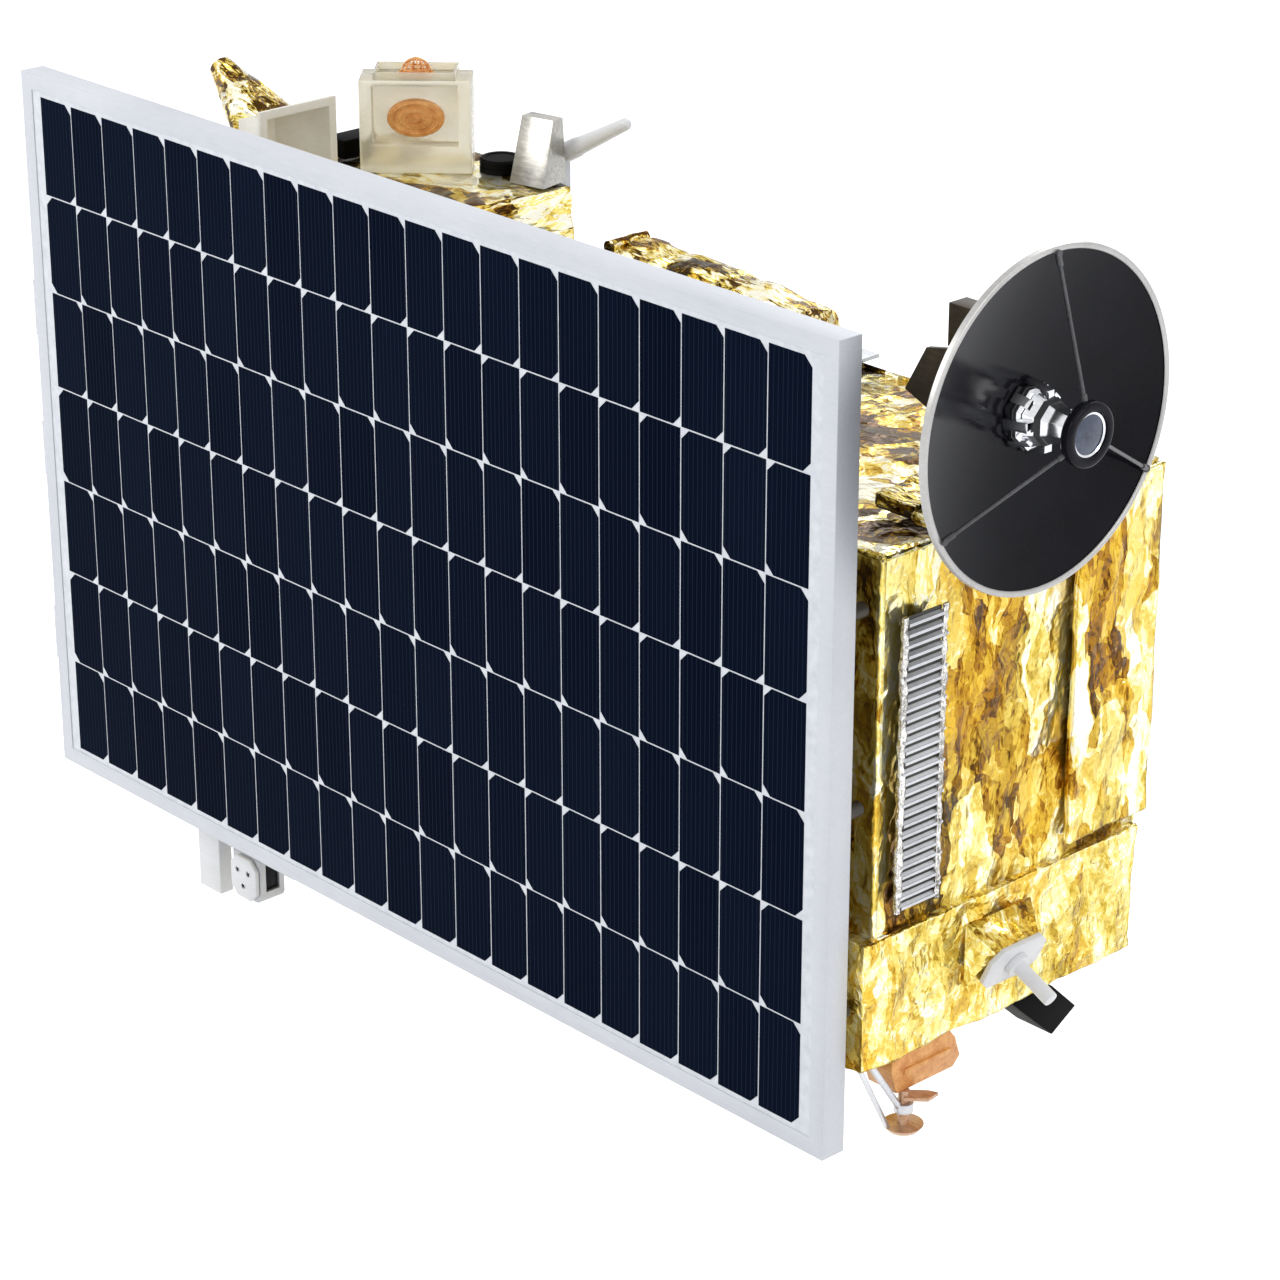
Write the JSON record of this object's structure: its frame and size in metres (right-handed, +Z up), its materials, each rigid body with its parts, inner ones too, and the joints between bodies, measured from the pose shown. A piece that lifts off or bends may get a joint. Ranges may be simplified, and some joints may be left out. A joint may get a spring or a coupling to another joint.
{
  "type": "small satellite",
  "caption": "Box-shaped Earth-observation satellite with a hinged framed solar panel, a two-axis steerable dish and deck instruments.",
  "frame": {"origin": "centre of the launch ring's lower face", "axes": "+Z up away from the launch ring, +X towards the dish, -Y towards the solar panel"},
  "size_m": [2.046, 0.637, 1.4419],
  "materials": {
    "bright_aluminium": "brushed",
    "gold_foil": "crinkled metallised film",
    "grey_aluminium": "satin",
    "white_paint": "satin",
    "black_paint": "satin",
    "clear_case": "translucent, glossy",
    "copper_orange": "glossy",
    "mirror_film": "mirror",
    "dark_bronze": "satin",
    "black_reflector": "high gloss",
    "rim_silver": "satin",
    "chrome": "polished",
    "lens_glass": "polished",
    "panel_rail": "satin anodised",
    "back_sheet": "smooth laminate",
    "solar_cell": "coated silicon under glass"
  },
  "bodies": {
    "bus": {"adapter_ring": "bright_aluminium", "base_module": "gold_foil", "main_body": "gold_foil", "side_blanket": "gold_foil", "deck_plate": "grey_aluminium", "payload_box": "gold_foil", "rear_rail": "grey_aluminium", "deck_hump": "gold_foil", "cone_antenna": "gold_foil", "cone_bracket": "grey_aluminium", "square_horn": "white_paint", "receiver_box": "black_paint", "drum_unit": "black_paint", "clear_case": "clear_case", "patch_antenna": "copper_orange", "wire_dome": "copper_orange", "clear_tray": "clear_case", "sensor_hood": "mirror_film", "rod_antenna": "white_paint", "rod_bracket": "grey_aluminium", "louvre_frame": "bright_aluminium", "louvre_slats": "bright_aluminium", "flange_bracket": "gold_foil", "side_flange": "white_paint", "side_probe": "white_paint", "nadir_sensor": "black_paint", "thruster_bracket": "copper_orange", "thruster_stem": "copper_orange", "thruster_struts": "bright_aluminium", "camera_post": "white_paint", "camera_arm": "grey_aluminium", "camera_body": "grey_aluminium", "camera_cap": "white_paint", "camera_window": "black_paint", "hinge_brackets": "bright_aluminium", "hold_downs": "bright_aluminium", "gimbal_base": "dark_bronze"},
    "gimbal_yoke": {"gimbal_yoke": "dark_bronze"},
    "dish": {"dish_hub": "dark_bronze", "reflector": "black_reflector", "dish_rim": "rim_silver", "dish_feed": "chrome", "sub_struts": "rim_silver", "sub_ring": "black_reflector", "sub_lens": "lens_glass"},
    "solar_panel": {"panel_frame": "panel_rail", "panel_glass": "back_sheet", "solar_cells": "solar_cell", "cross_rails": "bright_aluminium", "hinge_leaves": "bright_aluminium"}
  },
  "joints": [
    {"name": "panel_hinge", "type": "hinge", "parent": "bus", "child": "solar_panel", "pos_m": [-0.93, -0.3, 0.4], "axis": [0, 0, -1], "range_deg": [0, 90]},
    {"name": "dish_turn", "type": "hinge", "parent": "bus", "child": "gimbal_yoke", "pos_m": [0.93, -0.089, 0.9], "axis": [0, 0, 1], "range_deg": [-25, 25]},
    {"name": "dish_tilt", "type": "hinge", "parent": "gimbal_yoke", "child": "dish", "pos_m": [0.93, -0.089, 1.057], "axis": [0, -1, 0], "range_deg": [-5, 45]}
  ]
}
